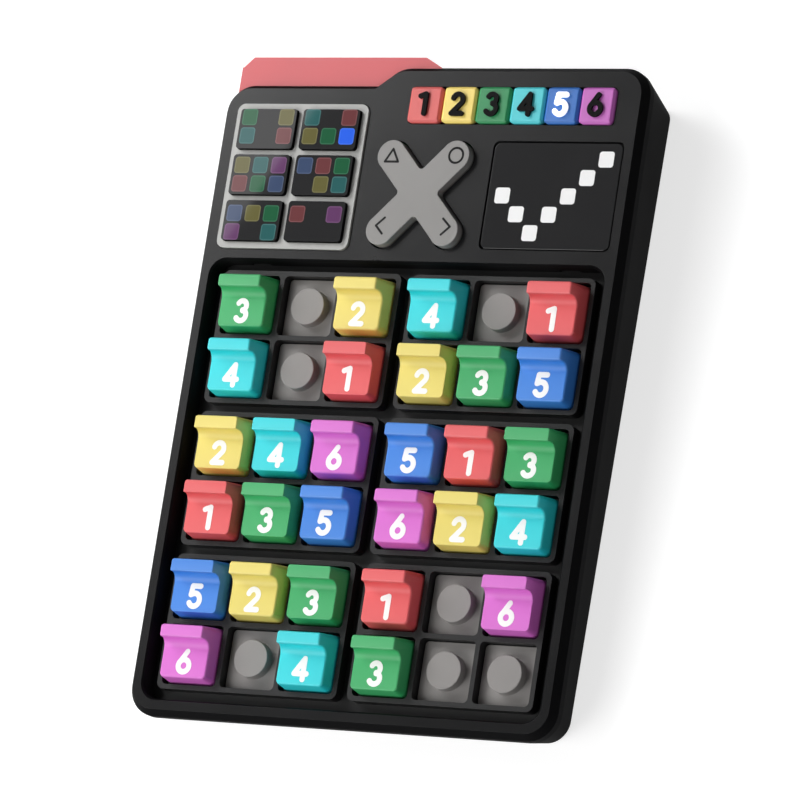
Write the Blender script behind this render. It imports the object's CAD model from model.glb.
# %% [markdown]
# # A sudoku board with lift-off number tiles
# The solids come from the CAD frame, already in place and in metres. This lesson gives them rounded edges,
# moulded finishes, printed digits and lit displays, and photographs them on a pale table.

# %% Load the frame
import math

import bpy
from mathutils import Matrix, Vector
from mathutils.geometry import delaunay_2d_cdt


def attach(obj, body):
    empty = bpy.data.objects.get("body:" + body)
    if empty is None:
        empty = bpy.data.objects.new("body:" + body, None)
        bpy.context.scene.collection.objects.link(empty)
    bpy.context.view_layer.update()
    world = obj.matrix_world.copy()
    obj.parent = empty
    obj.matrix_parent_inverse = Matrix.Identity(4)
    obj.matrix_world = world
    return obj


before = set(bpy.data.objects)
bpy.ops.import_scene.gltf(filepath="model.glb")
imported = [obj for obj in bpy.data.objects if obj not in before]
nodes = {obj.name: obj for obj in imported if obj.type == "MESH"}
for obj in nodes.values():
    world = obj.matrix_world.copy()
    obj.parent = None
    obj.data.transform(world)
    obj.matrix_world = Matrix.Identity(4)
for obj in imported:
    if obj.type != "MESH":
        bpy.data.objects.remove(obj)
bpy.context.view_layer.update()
MM = 0.001

# %% [markdown]
# The face of the board slopes a little, because the case is a wedge. Prints and lights lie on that face. They could
# be placed in the frame's own directions, but then each place would need the slope worked in. So they are drawn in
# the face's directions: u across the board, v up the board and w out of the face, in millimetres. One matrix takes
# them to the frame. Its slope and origin repeat the CAD's values.

# %% The face's own frame
FACE_TILT = math.radians(3.3)
FACE_ORIGIN = Vector((0, -26.7689, 17.7718)) * MM
FACE = Matrix.Translation(FACE_ORIGIN) @ Matrix.Rotation(FACE_TILT, 4, "X")


def face_point(u, v, w):
    return FACE @ (Vector((u, v, w)) * MM)


print("face normal", tuple(round(x, 4) for x in FACE.col[2][:3]))

# %% [markdown]
# The camera stands where the photograph's camera stood: to the right, a little below the board and far off, with a
# long lens. It could be set by eye, but the printed digits lie on a regular grid, so its place and turn were solved
# from them. The turn is kept as a quaternion, because the camera is rolled as well as aimed.

# %% Camera
CAMERA_PLACE = (0.725801, -0.391898, 1.262725)
CAMERA_TURN = (0.956376, 0.1502476, 0.2445263, 0.0545663)
LENS_MM = 251.82
SENSOR_MM = 36
FARTHEST_M = 20

camera_data = bpy.data.cameras.new("camera")
camera_data.lens = LENS_MM
camera_data.sensor_width = SENSOR_MM
camera_data.clip_end = FARTHEST_M
camera = bpy.data.objects.new("camera", camera_data)
camera.location = CAMERA_PLACE
camera.rotation_mode = "QUATERNION"
camera.rotation_quaternion = CAMERA_TURN
bpy.context.scene.collection.objects.link(camera)
bpy.context.scene.camera = camera
print("camera distance", round(camera.location.length, 3))

# %% [markdown]
# Colours are written as sRGB hex, the way a paint picker gives them, and Blender's shaders want linear light. One
# function does the change. A second small function adds a shader node, sets its inputs and links it, so that each
# material reads as a list of what it is made of.

# %% Colour and node helpers
WHITE = (1, 1, 1, 1)


def hex_parts(hex_colour):
    return [int(hex_colour[i:i + 2], 16) for i in (1, 3, 5)]


def linear(hex_colour):
    parts = [part / 255 for part in hex_parts(hex_colour)]
    return [c / 12.92 if c <= 0.04045 else ((c + 0.055) / 1.055) ** 2.4 for c in parts] + [1]


def add_node(tree, kind, settings=None, inputs=None, links=None):
    node = tree.nodes.new(kind)
    for name, value in (settings or {}).items():
        setattr(node, name, value)
    for name, value in (inputs or {}).items():
        node.inputs[name].default_value = value
    for name, socket in (links or {}).items():
        tree.links.new(socket, node.inputs[name])
    return node


def new_material(name):
    material = bpy.data.materials.new(name)
    material.use_nodes = True
    tree = material.node_tree
    return material, tree, tree.nodes["Principled BSDF"]


print("mid grey", [round(c, 3) for c in linear("#808080")])

# %% [markdown]
# The case is moulded in two finishes. Its face has a fine satin, and its bevel and sides are left matt, which makes
# them drink the light and draws a dark outline round the face. Two materials on split faces would show a hard line
# along the rounded edge, so one material blends both finishes by how far a surface points up. The matt part is a
# little paler on the upright band than on the bevel. The map's windows have such sides too, in one colour.

# %% Matt sides
SIDE_ROUGHNESS = 0.6
SIDE_LEVEL = 0.02
UPRIGHT_Z, BEVEL_Z = 0.2, 0.45
MATT_Z, SATIN_Z = 0.7, 0.95


def add_matt_sides(tree, satin, normal, upright_hex, bevel_hex):
    place = add_node(tree, "ShaderNodeNewGeometry")
    up = add_node(tree, "ShaderNodeSeparateXYZ", links={"Vector": place.outputs["True Normal"]})
    matt = add_node(tree, "ShaderNodeBsdfPrincipled",
                    inputs={"Roughness": SIDE_ROUGHNESS, "Specular IOR Level": SIDE_LEVEL},
                    links={"Normal": normal})
    if upright_hex == bevel_hex:
        matt.inputs["Base Color"].default_value = linear(upright_hex)
    else:
        slope = add_node(tree, "ShaderNodeMapRange", inputs={"From Min": UPRIGHT_Z, "From Max": BEVEL_Z},
                         links={"Value": up.outputs["Z"]})
        shade = add_node(tree, "ShaderNodeMix", {"data_type": "RGBA"}, links={"Factor": slope.outputs["Result"]})
        shade.inputs["A"].default_value = linear(upright_hex)
        shade.inputs["B"].default_value = linear(bevel_hex)
        tree.links.new(shade.outputs["Result"], matt.inputs["Base Color"])
    top = add_node(tree, "ShaderNodeMapRange", inputs={"From Min": MATT_Z, "From Max": SATIN_Z},
                   links={"Value": up.outputs["Z"]})
    both = add_node(tree, "ShaderNodeMixShader", links={"Fac": top.outputs["Result"]})
    tree.links.new(matt.outputs["BSDF"], both.inputs[1])
    tree.links.new(satin.outputs["BSDF"], both.inputs[2])
    tree.links.new(both.outputs["Shader"], tree.nodes["Material Output"].inputs["Surface"])


print("satin from slope", SATIN_Z, "matt below", MATT_Z)

# %% [markdown]
# Nearly every piece is injection-moulded plastic. Its mould was spark eroded, which leaves a fine even grain that
# breaks up the highlights, and a faint drift in gloss where the plastic cooled unevenly. The grain is about
# 0.25 mm on the real case, and is drawn at 0.45 mm so that it shows in a picture of this size. The drift is
# some 20 mm across. Edges that fingers rub are a touch lighter, so a mask of the pointed edges lifts them.

# %% Moulded plastic
GRAIN_MM = 0.45
GRAIN_DEPTH_MM = 0.05
DRIFT_MM = 20
RUB_START, RUB_FULL = 0.52, 0.6
COAT_ROUGHNESS = 0.12


def moulded(name, colour, roughness, grain=0.06, edge=0.0, coat=0.0, ior=1.52, drift=0.05, tint=0.08, level=0.5,
            matt_sides=None):
    material, tree, shader = new_material(name)
    shader.inputs["IOR"].default_value = ior
    shader.inputs["Specular IOR Level"].default_value = level
    shader.inputs["Coat Weight"].default_value = coat
    shader.inputs["Coat Roughness"].default_value = COAT_ROUGHNESS
    place = add_node(tree, "ShaderNodeTexCoord")
    grit = add_node(tree, "ShaderNodeTexNoise", inputs={"Scale": 1 / (GRAIN_MM * MM), "Detail": 2},
                    links={"Vector": place.outputs["Object"]})
    cloud = add_node(tree, "ShaderNodeTexNoise", inputs={"Scale": 1 / (DRIFT_MM * MM), "Detail": 3},
                     links={"Vector": place.outputs["Object"]})
    gloss = add_node(tree, "ShaderNodeMapRange",
                     inputs={"To Min": roughness - drift, "To Max": roughness + drift},
                     links={"Value": cloud.outputs["Fac"]})
    tree.links.new(gloss.outputs["Result"], shader.inputs["Roughness"])
    base = linear(colour)
    shades = add_node(tree, "ShaderNodeMix", {"data_type": "RGBA"}, links={"Factor": cloud.outputs["Fac"]})
    shades.inputs["A"].default_value = [c * (1 - tint) for c in base[:3]] + [1]
    shades.inputs["B"].default_value = [min(1, c * (1 + tint)) for c in base[:3]] + [1]
    result = shades.outputs["Result"]
    if edge:
        point = add_node(tree, "ShaderNodeNewGeometry")
        worn = add_node(tree, "ShaderNodeMapRange",
                        inputs={"From Min": RUB_START, "From Max": RUB_FULL, "To Max": edge},
                        links={"Value": point.outputs["Pointiness"]})
        rubbed = add_node(tree, "ShaderNodeMix", {"data_type": "RGBA"}, inputs={"B": WHITE},
                          links={"Factor": worn.outputs["Result"], "A": result})
        result = rubbed.outputs["Result"]
    tree.links.new(result, shader.inputs["Base Color"])
    bump = add_node(tree, "ShaderNodeBump", inputs={"Strength": grain, "Distance": GRAIN_DEPTH_MM * MM},
                    links={"Height": grit.outputs["Fac"]})
    tree.links.new(bump.outputs["Normal"], shader.inputs["Normal"])
    if matt_sides:
        add_matt_sides(tree, shader, bump.outputs["Normal"], *matt_sides)
    return material


case_black = moulded("case_black_abs", "#111112", 0.25, grain=0.10, level=0.42, matt_sides=("#1a1a1b", "#101011"))
back_black = moulded("back_black_abs", "#0f0f10", 0.65, grain=0.12, level=0.02)
tray_black = moulded("tray_black_abs", "#0e0e0f", 0.46, grain=0.08)
grid_black = moulded("grid_black_abs", "#131314", 0.46, grain=0.08)
tab_red = moulded("tab_red_abs", "#c95257", 0.4)
key_grey = moulded("key_grey_silicone", "#8b8886", 0.6, grain=0.12, ior=1.41)
pad_grey = moulded("pad_grey_abs", "#858381", 0.34, edge=0.02)
bezel_grey = moulded("bezel_grey_abs", "#a9a9a6", 0.38, grain=0.04, edge=0.05)
nylon = moulded("ball_natural_nylon", "#d9d5c8", 0.5)
dome_rubber = moulded("dome_silicone", "#55585c", 0.6, ior=1.41)
foot_rubber = moulded("foot_rubber", "#1c1c1c", 0.8, grain=0.2)
solder_mask = moulded("board_solder_mask", "#1d5c36", 0.3, coat=0.3)
print("moulded finishes", len(bpy.data.materials))

# %% [markdown]
# The tiles are satin ABS in six colours, bright enough for their colour to spill onto their neighbours. The number
# caps use the same six names, but they are polycarbonate that a light shines through: a little glossier, and deeper
# or greyer where the light is off. So each has its own six hex values.

# %% The six colours of tiles and caps
COLOUR_NAMES = {1: "red", 2: "yellow", 3: "green", 4: "cyan", 5: "blue", 6: "purple"}
TILE_HEX = {1: "#e2575a", 2: "#e4d26a", 3: "#34a862", 4: "#20d0d8", 5: "#3480da", 6: "#d669cb"}
CAP_HEX = {1: "#d35c59", 2: "#ecd26c", 3: "#228951", 4: "#43c3cb", 5: "#2869b9", 6: "#bd60b7"}
tile_plastic = {d: moulded("tile_%s_abs" % COLOUR_NAMES[d], TILE_HEX[d], 0.5, grain=0.05, edge=0.12)
                for d in TILE_HEX}
cap_plastic = {d: moulded("cap_%s_polycarbonate" % COLOUR_NAMES[d], CAP_HEX[d], 0.42, grain=0.04, edge=0.1)
               for d in CAP_HEX}
print("tile colours", sorted(tile_plastic), "cap colours", sorted(cap_plastic))

# %% [markdown]
# The displays sit behind smoked acrylic: a dark, very smooth sheet that mirrors the room. Clear dark glass over a
# deep box would be closer to the real stack, but the sheet is nearly opaque, so a dark gloss gives the same look.
# The screws and contacts are plated steel, brushed by handling, and the power cells wear a printed metal foil.

# %% Acrylic, metal and foil
ACRYLIC_IOR = 1.49
HANDLING_MM = 0.6
HANDLING_SPREAD = 0.1


def plated(name, colour, roughness):
    material, tree, shader = new_material(name)
    shader.inputs["Base Color"].default_value = linear(colour)
    shader.inputs["Metallic"].default_value = 1
    place = add_node(tree, "ShaderNodeTexCoord")
    rub = add_node(tree, "ShaderNodeTexNoise", inputs={"Scale": 1 / (HANDLING_MM * MM), "Detail": 3},
                   links={"Vector": place.outputs["Object"]})
    gloss = add_node(tree, "ShaderNodeMapRange",
                     inputs={"To Min": roughness - HANDLING_SPREAD, "To Max": roughness + HANDLING_SPREAD},
                     links={"Value": rub.outputs["Fac"]})
    tree.links.new(gloss.outputs["Result"], shader.inputs["Roughness"])
    return material


smoked_lens = moulded("lens_smoked_acrylic", "#222223", 0.12, grain=0.0, drift=0.02, ior=ACRYLIC_IOR)
smoked_window = moulded("window_smoked_acrylic", "#262627", 0.03, grain=0.0, drift=0.01, ior=ACRYLIC_IOR,
                        matt_sides=("#0c0c0d", "#0c0c0d"))
screw_zinc = plated("screw_zinc", "#8f9296", 0.35)
contact_nickel = plated("contact_nickel", "#c3c4c2", 0.25)
foil_jacket = plated("cell_foil", "#b4803a", 0.3)
print("materials", len(bpy.data.materials))

# %% [markdown]
# Moulded edges are never knife sharp. They could be rounded in the CAD, but small rounds there cost many faces, so
# modifiers do it here and the solids' own meshes stay as they are. Each solid gets a Weld, because the frame's mesh
# is split along its edges, a planar Decimate that turns triangles back into whole faces, a small Bevel, and
# Weighted Normals that keep the broad faces flat and let the bevel catch the light.

# %% Dress the CAD solids
WELD_MM = 0.002
WHOLE_FACE_ANGLE = math.radians(0.4)
EDGE_ANGLE = math.radians(28)


def soften(part, width_mm, segments=3):
    weld = part.modifiers.new("weld", "WELD")
    weld.merge_threshold = WELD_MM * MM
    flat = part.modifiers.new("whole_faces", "DECIMATE")
    flat.decimate_type = "DISSOLVE"
    flat.angle_limit = WHOLE_FACE_ANGLE
    bevel = part.modifiers.new("moulded_edge", "BEVEL")
    bevel.width = width_mm * MM
    bevel.segments = segments
    bevel.limit_method = "ANGLE"
    bevel.angle_limit = EDGE_ANGLE
    bevel.use_clamp_overlap = True
    normals = part.modifiers.new("flat_faces", "WEIGHTED_NORMAL")
    normals.keep_sharp = False


def dress(name, material, width_mm=0.0, **bevel):
    part = nodes[name]
    part.data.materials.clear()
    part.data.materials.append(material)
    if width_mm:
        soften(part, width_mm, **bevel)


dress("front_shell", case_black, 0.25)
dress("back_shell", back_black, 0.2)
dress("battery_door", back_black, 0.2)
dress("top_tab", tab_red, 0.45)
dress("play_tray", tray_black, 0.15)
dress("stud_pads", key_grey, 0.25)
dress("map_bezel", bezel_grey, 0.25)
dress("map_windows", smoked_window, 0.2)
dress("display_lens", smoked_lens, 0.2)
dress("rocker_cap", pad_grey, 0.8, segments=4)
dress("rocker_pivot", nylon)
dress("rocker_membrane", dome_rubber, 0.15)
dress("panel_board", solder_mask)
dress("cell_board", solder_mask)
dress("batteries", foil_jacket, 0.3)
dress("battery_contacts", contact_nickel)
dress("case_screws", screw_zinc, 0.25)
dress("rubber_feet", foot_rubber, 0.3)
print("rounded single pieces", sum(1 for n in nodes.values() if n.modifiers))

# %% [markdown]
# Three kinds of piece repeat: six block frames, six number caps, and one tile for each cell that is filled. The
# puzzle is written once as rows of digits, with 0 for an empty cell. Tiles, prints and map lights all follow it.

# %% Dress the pieces that repeat
DIGITS = [[3, 0, 2, 4, 0, 1], [4, 0, 1, 2, 3, 5], [2, 4, 6, 5, 1, 3],
          [1, 3, 5, 6, 2, 4], [5, 2, 3, 1, 0, 6], [6, 0, 4, 3, 0, 0]]
BLOCK_EDGE_MM = 0.5
CAP_EDGE_MM = 0.15
TILE_EDGE_MM = 0.55
filled_cells = [(row, column, digit) for row, digits in enumerate(DIGITS)
                for column, digit in enumerate(digits) if digit]


def cell_name(row, column):
    return "r%dc%d" % (row + 1, column + 1)


for digit in TILE_HEX:
    dress("block_frame_%d" % digit, grid_black, BLOCK_EDGE_MM)
    dress("number_cap_%d" % digit, cap_plastic[digit], CAP_EDGE_MM)
for row, column, digit in filled_cells:
    dress("tile_" + cell_name(row, column), tile_plastic[digit], TILE_EDGE_MM)
print("rounded pieces", sum(1 for n in nodes.values() if n.modifiers), "of", len(nodes))

# %% [markdown]
# The digits are a plain rounded bold hand. A text object would bring its font's own shapes, so each digit is drawn
# as the path of a round pen: straight lines and arcs, in parts of the digit's height.

# %% Paths of the digits


def arc(cx, cy, rx, ry, start, end, steps=20):
    angles = [math.radians(start + (end - start) * i / steps) for i in range(steps + 1)]
    return [(cx + rx * math.cos(a), cy + ry * math.sin(a)) for a in angles]


def digit_strokes(digit):
    if digit == 1:
        return [[(-0.17, 0.31), (0.07, 0.40), (0.07, -0.40)]]
    if digit == 2:
        bow = arc(0.0, 0.17, 0.215, 0.225, 165, -38)
        return [bow + [(-0.22, -0.39), (0.23, -0.39)]]
    if digit == 3:
        return [arc(-0.01, 0.20, 0.19, 0.20, 150, -75) + arc(-0.01, -0.18, 0.225, 0.22, 78, -150)]
    if digit == 4:
        return [[(0.13, -0.40), (0.13, 0.40), (-0.26, -0.18), (0.27, -0.18)]]
    if digit == 5:
        return [[(0.20, 0.40), (-0.14, 0.40), (-0.18, 0.06)] + arc(-0.01, -0.14, 0.235, 0.255, 118, -150)]
    return [[(0.09, 0.40), (-0.19, -0.03)] + arc(0.0, -0.155, 0.235, 0.24, 150, 510, 32)]


print("points in a path", {d: sum(len(path) for path in digit_strokes(d)) for d in TILE_HEX})

# %% [markdown]
# The pen leaves a round-ended stamp for each short run of its path. The stamps are joined into one flat outline by a
# constrained triangulation, which also leaves the holes of 4 and 6 open. A curve with a round bevel would be quicker,
# but its strokes would overlap where they cross.

# %% The round pen
PEN_END_STEPS = 10
JOIN_MM = 1e-4
INSIDE_ONLY = 1


def pen_outline(strokes, pen_r, scale):
    turns = [math.pi / 2 + math.pi * i / PEN_END_STEPS for i in range(PEN_END_STEPS + 1)]
    points, faces = [], []
    for path in strokes:
        pts = [Vector((x * scale, y * scale)) for x, y in path]
        for a, b in zip(pts, pts[1:]):
            run = math.atan2(b.y - a.y, b.x - a.x)
            round_end = [pen_r * Vector((math.cos(run + t), math.sin(run + t))) for t in turns]
            stamp = [a + reach for reach in round_end] + [b - reach for reach in round_end]
            faces.append(list(range(len(points), len(points) + len(stamp))))
            points += stamp
    flat = delaunay_2d_cdt(points, [], faces, INSIDE_ONLY, JOIN_MM)
    return flat[0], [face for face, stamped in zip(flat[2], flat[5]) if stamped]


def flat_mesh(name, points, faces):
    mesh = bpy.data.meshes.new(name)
    mesh.from_pydata([(p[0] * MM, p[1] * MM, 0) for p in points], [], faces)
    mesh.validate()
    return mesh


TILE_DIGIT_MM = 7.0
TILE_PEN_MM = 0.77
tile_digit_mesh = {d: flat_mesh("tile_digit_%d" % d, *pen_outline(digit_strokes(d), TILE_PEN_MM, TILE_DIGIT_MM))
                   for d in TILE_HEX}
print("digit triangles", {d: len(m.polygons) for d, m in tile_digit_mesh.items()})

# %% [markdown]
# Every print and light is a flat outline that is laid on the face and given a thickness. The Solidify modifier grows
# it outwards, and a Bevel rounds it where it stands up. Each piece rides on the body that carries it.

# %% Lay a piece on the face
ROUNDED_ANGLE = math.radians(50)
ROUNDED_SEGMENTS = 2


def thicken(piece, mm, rounded=0.0):
    plate = piece.modifiers.new("thickness", "SOLIDIFY")
    plate.thickness = mm * MM
    plate.offset = 1
    if rounded:
        bevel = piece.modifiers.new("rounded", "BEVEL")
        bevel.width = rounded * MM
        bevel.segments = ROUNDED_SEGMENTS
        bevel.limit_method = "ANGLE"
        bevel.angle_limit = ROUNDED_ANGLE


def lay(piece, u, v, w, body, material=None):
    bpy.context.scene.collection.objects.link(piece)
    piece.matrix_world = FACE @ Matrix.Translation(Vector((u, v, w)) * MM)
    if material and not piece.data.materials:
        piece.data.materials.append(material)
    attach(piece, body)


print("pieces grow outwards and round at", round(math.degrees(ROUNDED_ANGLE)), "degrees")

# %% [markdown]
# The tile digits are pad printed: a thin white ink that sits on the plastic. A colour mask in the tile's material
# would do, but the print is a film with its own edge, so it is one here, a twentieth of a millimetre thick and with
# a soft shine. Each rides on its own tile and leaves the board with it.

# %% Printed digits on the tiles
print_white = moulded("print_white_ink", "#f4f4f2", 0.5, grain=0.02, tint=0.02)
CELL_PITCH = 18
MIDDLE_CELL = 2.5
COLUMN_SPREAD = 2.3
ROW_SPREAD = 3.8
COLUMN_U = [(c - MIDDLE_CELL) * CELL_PITCH + (-1 if c < 3 else 1) * COLUMN_SPREAD for c in range(6)]
ROW_V = [(MIDDLE_CELL - r) * CELL_PITCH + (1 - r // 2) * ROW_SPREAD for r in range(6)]
TILE_FACE_W = 1.5
PRINT_V = -2.72
PRINT_FILM_MM = 0.05
for row, column, digit in filled_cells:
    tile = "tile_" + cell_name(row, column)
    ink = bpy.data.objects.new("print_" + cell_name(row, column), tile_digit_mesh[digit])
    lay(ink, COLUMN_U[column], ROW_V[row] + PRINT_V, TILE_FACE_W, tile,
        print_white)
    thicken(ink, PRINT_FILM_MM)

# %% [markdown]
# Lights are small lamps behind a diffuser. A lamp object for each would not reach the exported model, so a light is a
# surface that glows: its colour is set once for the plastic and once for the glow, and its strength drifts a little,
# as light from a small lamp does, over some 6 mm.

# %% Glowing plastic
GLOW_MM = 6
GLOW_SPREAD = 0.08


def glowing(name, colour, strength, roughness=0.35):
    material, tree, shader = new_material(name)
    shader.inputs["Base Color"].default_value = linear(colour)
    shader.inputs["Emission Color"].default_value = linear(colour)
    shader.inputs["Roughness"].default_value = roughness
    place = add_node(tree, "ShaderNodeTexCoord")
    cloud = add_node(tree, "ShaderNodeTexNoise", inputs={"Scale": 1 / (GLOW_MM * MM)},
                     links={"Vector": place.outputs["Object"]})
    level = add_node(tree, "ShaderNodeMapRange",
                     inputs={"To Min": strength * (1 - GLOW_SPREAD), "To Max": strength * (1 + GLOW_SPREAD)},
                     links={"Value": cloud.outputs["Fac"]})
    tree.links.new(level.outputs["Result"], shader.inputs["Emission Strength"])
    return material


lit_white = glowing("light_white", "#ffffff", 0.75)
print("lit", lit_white.name)

# %% [markdown]
# The number caps carry raised black digits, except the one that is lit, which glows white. A bump would vanish from
# the side, so they are solid: they stand up 0.7 mm and have rounded edges.

# %% Raised digits on the caps
cap_ink = moulded("cap_black_ink", "#070707", 0.5, grain=0.03, level=0.12)
CAP_DIGIT_MM = 6.9
CAP_PEN_MM = 0.68
CAP_U0 = -1.125
CAP_PITCH = 10.4
CAP_V = 105.175
CAP_TOP_W = 1.2
CAP_DIGIT_RISE_MM = 0.7
CAP_DIGIT_ROUND_MM = 0.12
LIT_CAP = 5
for digit in CAP_HEX:
    outline = pen_outline(digit_strokes(digit), CAP_PEN_MM, CAP_DIGIT_MM)
    raised = bpy.data.objects.new("cap_digit_%d" % digit, flat_mesh("cap_digit_%d" % digit, *outline))
    lay(raised, CAP_U0 + (digit - 1) * CAP_PITCH, CAP_V, CAP_TOP_W, "base",
        lit_white if digit == LIT_CAP else cap_ink)
    thicken(raised, CAP_DIGIT_RISE_MM, rounded=CAP_DIGIT_ROUND_MM)
print("cap digits", len(CAP_HEX))

# %% [markdown]
# Both displays show small squares with rounded corners. Each display's squares are one flat mesh, which is lighter
# than an object for each. A square may have a rim of its own material, where its cover's edge catches light.

# %% Rounded squares


def rounded_square(cx, cy, side, r, steps=6):
    pts = []
    h = side / 2 - r
    for k, (sx, sy) in enumerate(((1, 1), (-1, 1), (-1, -1), (1, -1))):
        pts += arc(cx + sx * h, cy + sy * h, r, r, 90 * k, 90 * k + 90, steps)
    return pts


def squares_mesh(name, squares, side, r, rim=0.0, rim_slot=0):
    points, faces, slots = [], [], []
    for cx, cy, slot in squares:
        ring = rounded_square(cx, cy, side - 2 * rim, r - rim)
        first, count = len(points), len(ring)
        faces.append(list(range(first, first + count)))
        slots.append(slot)
        points += ring
        if rim:
            points += rounded_square(cx, cy, side, r)
            for i in range(count):
                j = (i + 1) % count
                faces.append([first + i, first + count + i, first + count + j, first + j])
                slots.append(slot + rim_slot)
    mesh = flat_mesh(name, points, faces)
    for polygon, slot in zip(mesh.polygons, slots):
        polygon.material_index = slot
    return mesh


LIGHT_FILM_MM = 0.03
print("points in a square", len(rounded_square(0, 0, 1, 0.2)))

# %% [markdown]
# Behind each smoked window lie six small squares, one for each cell of its block. They glow dimly in the colours of
# the tiles. The empty cells and two more are dark, and one is bright. Each has a thin paler rim.

# %% Squares of the map display
MAP_MID = (-38.825, 84.625)
WINDOW_PITCH = (19.75, 13.7)
MINI_PITCH = (5.75, 5.3)
WINDOW_TOP_W = 1.8
MAP_DARK = ((3, 3), (5, 3))
MAP_BRIGHT = (1, 5)
BRIGHT_SLOT = 6
RIM_SLOT = 7
map_squares = []
for row, column, digit in filled_cells:
    if (row, column) not in MAP_DARK:
        u = MAP_MID[0] + (column // 3 - 0.5) * WINDOW_PITCH[0] + (column % 3 - 1) * MINI_PITCH[0]
        v = MAP_MID[1] + (1 - row // 2) * WINDOW_PITCH[1] + (0.5 - row % 2) * MINI_PITCH[1]
        map_squares.append((u, v, BRIGHT_SLOT if (row, column) == MAP_BRIGHT else digit - 1))
print("map squares", len(map_squares))

# %% [markdown]
# Their colours are the tiles' colours seen through the smoked sheet, so they are dark and greyed. A clear sheet in
# front would need many more light bounces, so the sheet's tint and gloss are in the squares' own material.

# %% Colours of the map display
DIM_HEX = {1: "#633638", 2: "#5d5934", 3: "#1e5437", 4: "#285656", 5: "#384662", 6: "#5b375d"}
BRIGHT_HEX = "#2a5cd6"
RIM_PALER = 0.1
MAP_GLOW = 0.1
MAP_ROUGHNESS = 0.03
MINI_SIDE = 4.65
MINI_CORNER_MM = 0.85
MINI_RIM_MM = 0.3


def paler(hex_colour, share):
    return "#%02x%02x%02x" % tuple(round(c + (255 - c) * share) for c in hex_parts(hex_colour))


map_mesh = squares_mesh("map_lights", map_squares, MINI_SIDE, MINI_CORNER_MM, MINI_RIM_MM, RIM_SLOT)
for part, share in (("", 0), ("_rim", RIM_PALER)):
    lights = [("light_dim_" + COLOUR_NAMES[digit], DIM_HEX[digit]) for digit in DIM_HEX]
    lights.append(("light_bright_blue", BRIGHT_HEX))
    for name, colour in lights:
        map_mesh.materials.append(glowing(name + part, paler(colour, share), MAP_GLOW, MAP_ROUGHNESS))
map_lights = bpy.data.objects.new("map_lights", map_mesh)
lay(map_lights, 0, 0, WINDOW_TOP_W, "base")
thicken(map_lights, LIGHT_FILM_MM)
print("map colours", len(map_mesh.materials))

# %% [markdown]
# The dot display shows a tick of seven white dots, soft-cornered squares behind the lens. They are written as columns
# and rows of the display's own grid, counted from its upper left.

# %% Dots of the dot display
LENS_MID = (40.925, 80.225)
LENS_TOP_W = -0.15
DOT_PITCH = (4.91, 5.15)
DOT_SIDE = 4.4
DOT_CORNER_MM = 0.8
DOTS = [(0, 2), (1, 3), (2, 4), (3, 3), (4, 2), (5, 1), (6, 0)]
MIDDLE_DOT = (3, 2)
dot_white = glowing("light_soft_white", "#dcdcdc", 0.14)
dot_places = [(LENS_MID[0] + (c - MIDDLE_DOT[0]) * DOT_PITCH[0], LENS_MID[1] + (MIDDLE_DOT[1] - r) * DOT_PITCH[1], 0)
              for c, r in DOTS]
dot_lights = bpy.data.objects.new("dot_lights", squares_mesh("dot_lights", dot_places, DOT_SIDE, DOT_CORNER_MM))
lay(dot_lights, 0, 0, LENS_TOP_W, "base", dot_white)
thicken(dot_lights, LIGHT_FILM_MM)
print("dots", len(dot_places))

# %% [markdown]
# The pad has four thin engraved signs near the ends of its arms: a triangle, a ring and two arrows. Grooves this fine
# would need a dense mesh, so they are drawn with the same pen, and lie a hair above the pad as their dark paint fill.

# %% Signs on the pad
sign_paint = moulded("pad_sign_paint", "#141414", 0.6, grain=0.02, level=0.2)
PAD_MID = (1.61, 79.975)
PAD_TOP_W = 2.2
SIGN_PEN_MM = 0.31
SIGN_FILM_MM = 0.03
triangle = [(-11.5, 8.6), (-7.4, 8.6), (-9.4, 12.2), (-11.5, 8.6)]
ring = arc(10.05, 10.55, 2.1, 2.1, 0, 360, 28)
left_arrow = [(-8.7, -7.1), (-11.1, -9.35), (-8.9, -11.6)]
right_arrow = [(9.1, -7.1), (11.5, -9.35), (9.1, -11.6)]
signs_outline = pen_outline([triangle, ring, left_arrow, right_arrow], SIGN_PEN_MM, 1)
pad_signs = bpy.data.objects.new("pad_signs", flat_mesh("pad_signs", *signs_outline))
lay(pad_signs, PAD_MID[0], PAD_MID[1], PAD_TOP_W, "rocker_cap", sign_paint)
thicken(pad_signs, SIGN_FILM_MM)
print("sign faces", len(pad_signs.data.polygons))

# %% [markdown]
# The table is a wide flat pale sheet. A backdrop that curves up would hide a horizon, but the camera looks down, so a
# flat sheet fills the picture. It keeps the board's soft shadow. Camera, glossy and transmitted rays get a little
# glow on top, so that it shows white without more light on the board.

# %% Table
TABLE_HALF_M = 6
TABLE_HEX = "#bcbcbc"
TABLE_ROUGHNESS = 0.9
TABLE_GLOW = 0.68
table_corners = [(x * TABLE_HALF_M, y * TABLE_HALF_M, 0) for x, y in ((-1, -1), (1, -1), (1, 1), (-1, 1))]
table_mesh = bpy.data.meshes.new("table")
table_mesh.from_pydata(table_corners, [], [(0, 1, 2, 3)])
table = bpy.data.objects.new("table", table_mesh)
bpy.context.scene.collection.objects.link(table)
white_card, card_tree, card_shader = new_material("table_white_card")
card_shader.inputs["Base Color"].default_value = linear(TABLE_HEX)
card_shader.inputs["Roughness"].default_value = TABLE_ROUGHNESS
card_shader.inputs["Specular IOR Level"].default_value = 0
card_shader.inputs["Emission Color"].default_value = WHITE
rays = add_node(card_tree, "ShaderNodeLightPath")
seen = add_node(card_tree, "ShaderNodeMath", {"operation": "ADD"},
                links={0: rays.outputs["Is Camera Ray"], 1: rays.outputs["Is Glossy Ray"]})
also = add_node(card_tree, "ShaderNodeMath", {"operation": "ADD", "use_clamp": True},
                links={0: seen.outputs["Value"], 1: rays.outputs["Is Transmission Ray"]})
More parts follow.
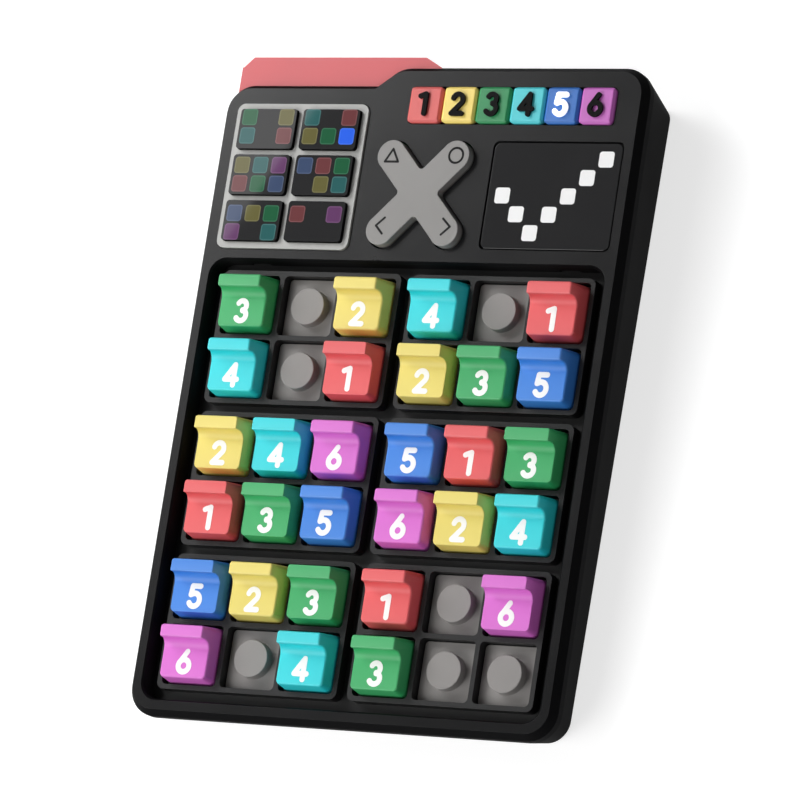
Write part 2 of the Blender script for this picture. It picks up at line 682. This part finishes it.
glow = add_node(card_tree, "ShaderNodeMath", {"operation": "MULTIPLY"}, inputs={1: TABLE_GLOW},
                links={0: also.outputs["Value"]})
card_tree.links.new(glow.outputs["Value"], card_shader.inputs["Emission Strength"])
table_mesh.materials.append(white_card)
print("table", TABLE_HALF_M * 2, "m")

# %% [markdown]
# Light: a large soft key lamp from the lower left, a side lamp from the upper left that only lights and is not
# mirrored, a small lamp beside it that gives the panel its sheen, a weak fill from the right, and an even pale world.
# One lamp could do for side and sheen, but it would be mirrored as plain white in other views.

# %% Light
WORLD_STRENGTH = 0.16
world = bpy.data.worlds.new("studio")
bpy.context.scene.world = world
world.use_nodes = True
world.node_tree.nodes["Background"].inputs["Color"].default_value = WHITE
world.node_tree.nodes["Background"].inputs["Strength"].default_value = WORLD_STRENGTH


def soft_lamp(name, place, size, watts, edge=(1, 0, 0), aim=(0, 0, 0)):
    lamp = bpy.data.lights.new(name, "AREA")
    lamp.size = size
    lamp.energy = watts
    obj = bpy.data.objects.new(name, lamp)
    back = (Vector(place) - Vector(aim)).normalized()
    across = (Vector(edge) - back * back.dot(Vector(edge))).normalized()
    turn = Matrix((across, back.cross(across), back)).transposed().to_4x4()
    obj.matrix_world = Matrix.Translation(place) @ turn
    bpy.context.scene.collection.objects.link(obj)
    return obj


soft_lamp("key_lamp", place=(-0.68, -0.74, 0.8), size=0.95, watts=13.3)
side_lamp = soft_lamp("side_lamp", place=(-0.5, 0.33, 0.45), size=0.5, watts=3.2)
side_lamp.visible_glossy = False
soft_lamp("glint_lamp", place=(-0.573, 0.371, 0.583), size=0.3, watts=1.5, edge=(-0.671, -0.696, -0.247))
soft_lamp("fill_lamp", place=(0.8, -0.6, 0.5), size=0.5, watts=1.6)
print("lamps", len(bpy.data.lights))

# %% [markdown]
# The map's windows mirror the straight edge of a soft card, which crosses them as a diagonal. The card is a dim lamp
# whose one edge lies where the camera sees it mirrored in the middle of the windows. It is moved outwards by half
# its side from that edge.

# %% Card that the windows mirror
CARD_EDGE = Vector((-0.517, -0.856, 0))
CARD_EDGE_MIDDLE = Vector((-0.5716, 0.2659, 0.9))
CARD_SIDE_M = 0.5
CARD_WATTS = 1.3
window_middle = face_point(*MAP_MID, WINDOW_TOP_W)
outward = CARD_EDGE.cross(window_middle - CARD_EDGE_MIDDLE).normalized()
outward *= -1 if outward.x > 0 else 1
half_card = outward * CARD_SIDE_M / 2
soft_lamp("card_lamp", CARD_EDGE_MIDDLE + half_card, CARD_SIDE_M, CARD_WATTS,
          edge=CARD_EDGE, aim=window_middle + half_card)
print("lamps with the card", len(bpy.data.lights))

# %% [markdown]
# Last come the plain view transform, in which a colour renders about as it is written, and the two boxes, which show
# that the dressed board keeps the size of the solids.

# %% Finish
bpy.context.scene.view_settings.view_transform = "Standard"
